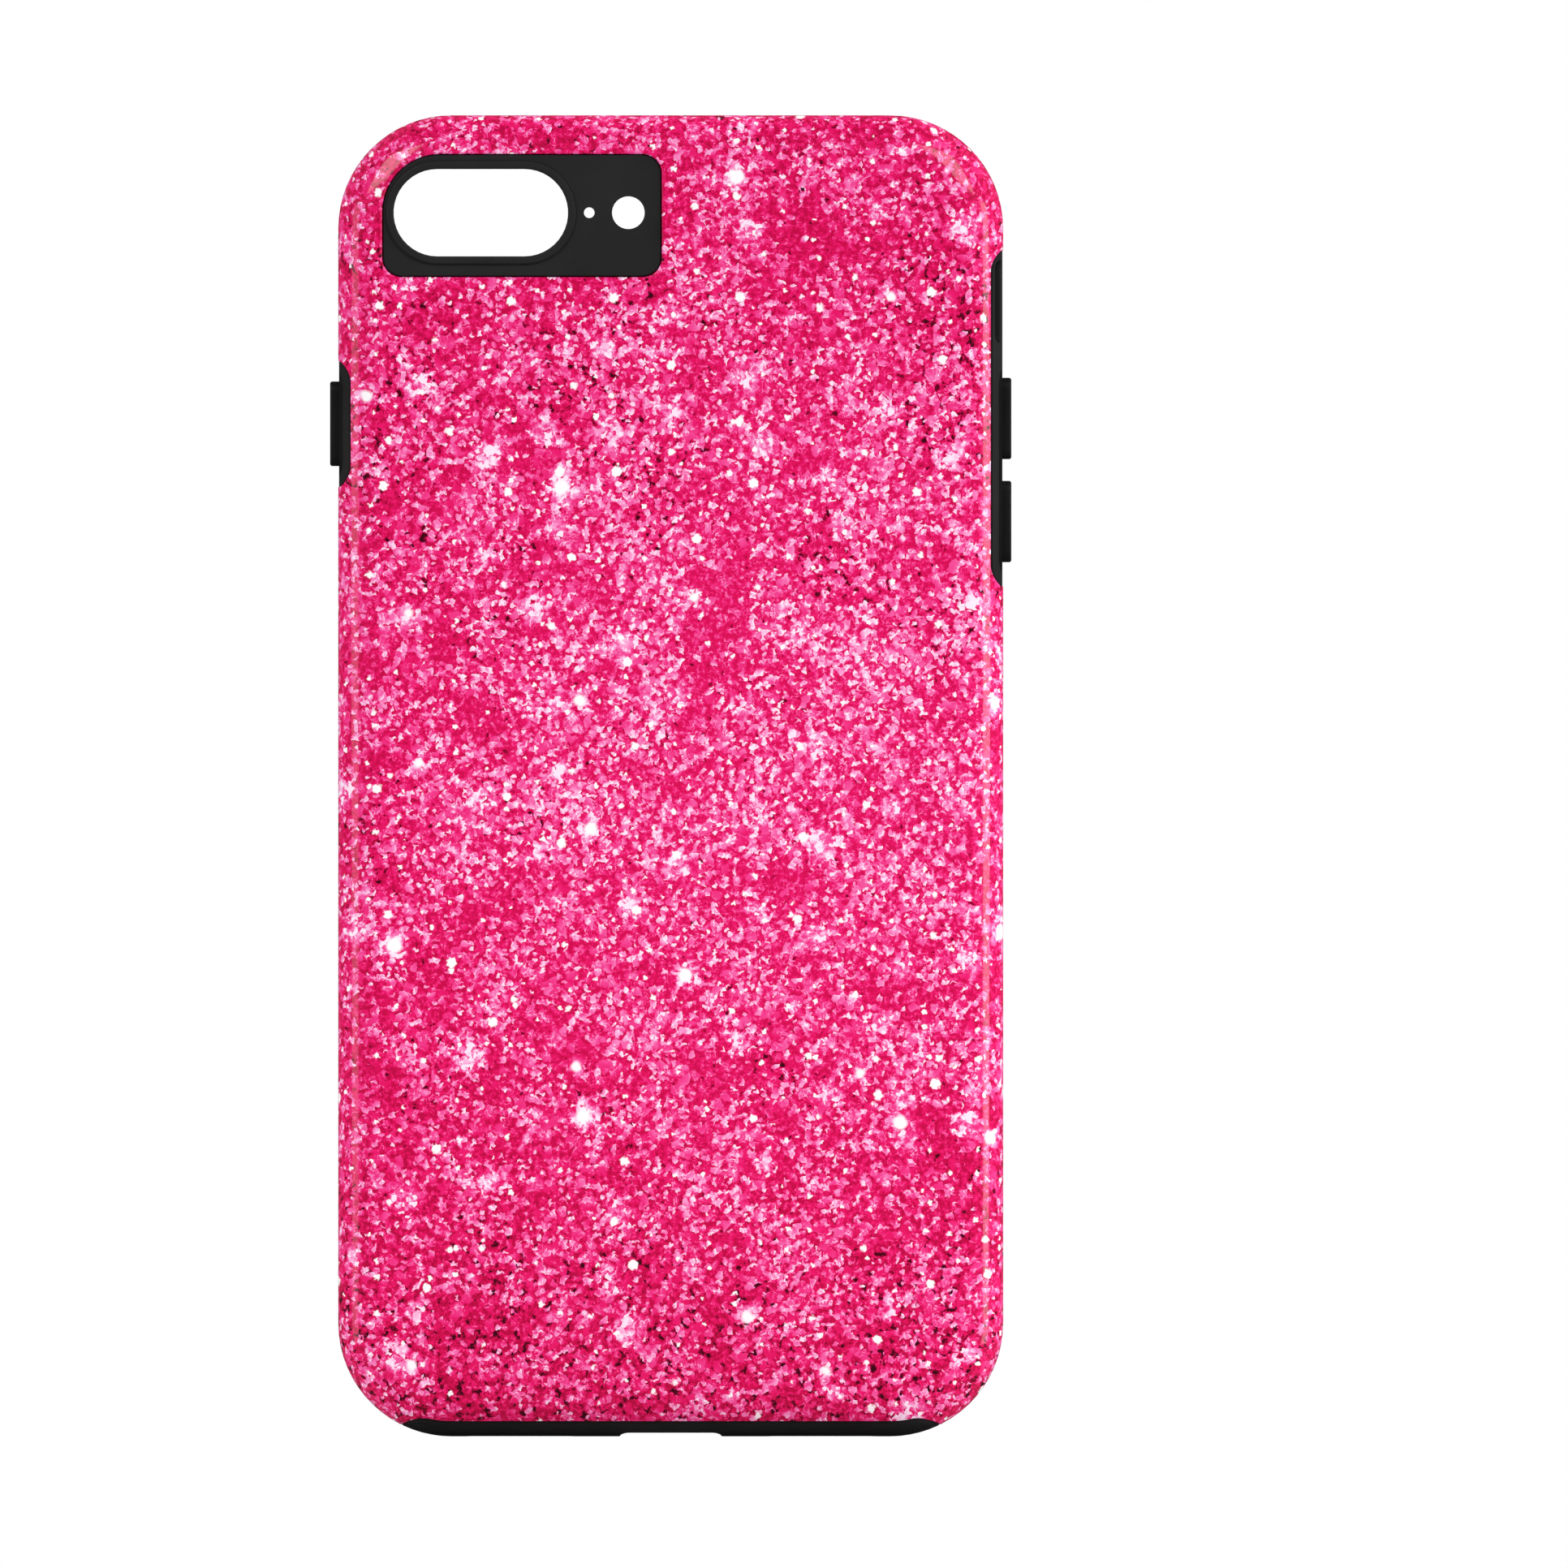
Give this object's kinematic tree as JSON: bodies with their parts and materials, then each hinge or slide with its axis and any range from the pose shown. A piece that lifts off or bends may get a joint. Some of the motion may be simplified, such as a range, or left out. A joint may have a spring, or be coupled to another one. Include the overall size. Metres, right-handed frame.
{
  "type": "phone case",
  "caption": "Two-layer phone case: glossy glitter-printed hard shell over a soft black liner with raised rim, camera window, charging port and press-through side buttons.",
  "frame": {"origin": "centre of the phone's pocket, which is the centre of the case's box", "axes": "+Z along the case's length towards the camera end, -Y out of the printed back, +Y out of the open front, +X towards the side with the mute opening and volume buttons"},
  "size_m": [0.0836, 0.011, 0.1622],
  "materials": {
    "printed_shell": "hard plastic with a pink glitter print under a clear gloss coat",
    "soft_liner": "fine matte black moulded elastomer",
    "button_web": "thin matte black elastomer, a little darker than the liner",
    "button_pad": "smooth matte black elastomer"
  },
  "bodies": {
    "liner": {"inner_liner": "soft_liner", "volume_button_web": "button_web", "power_button_web": "button_web"},
    "shell": {"outer_shell": "printed_shell"},
    "volume_up": {"volume_up_button": "button_pad"},
    "volume_down": {"volume_down_button": "button_pad"},
    "power": {"power_button": "button_pad"}
  },
  "joints": [
    {"name": "shell_pull_off", "type": "slide", "parent": "liner", "child": "shell", "axis": [0, -1, 0], "range_m": [0, 0.015]},
    {"name": "volume_up_press", "type": "slide", "parent": "liner", "child": "volume_up", "axis": [-1, 0, 0], "range_m": [0, 0.0004], "stiffness_N_per_m": 100},
    {"name": "volume_down_press", "type": "slide", "parent": "liner", "child": "volume_down", "axis": [-1, 0, 0], "range_m": [0, 0.0004], "stiffness_N_per_m": 100},
    {"name": "power_press", "type": "slide", "parent": "liner", "child": "power", "axis": [1, 0, 0], "range_m": [0, 0.0004], "stiffness_N_per_m": 100}
  ]
}
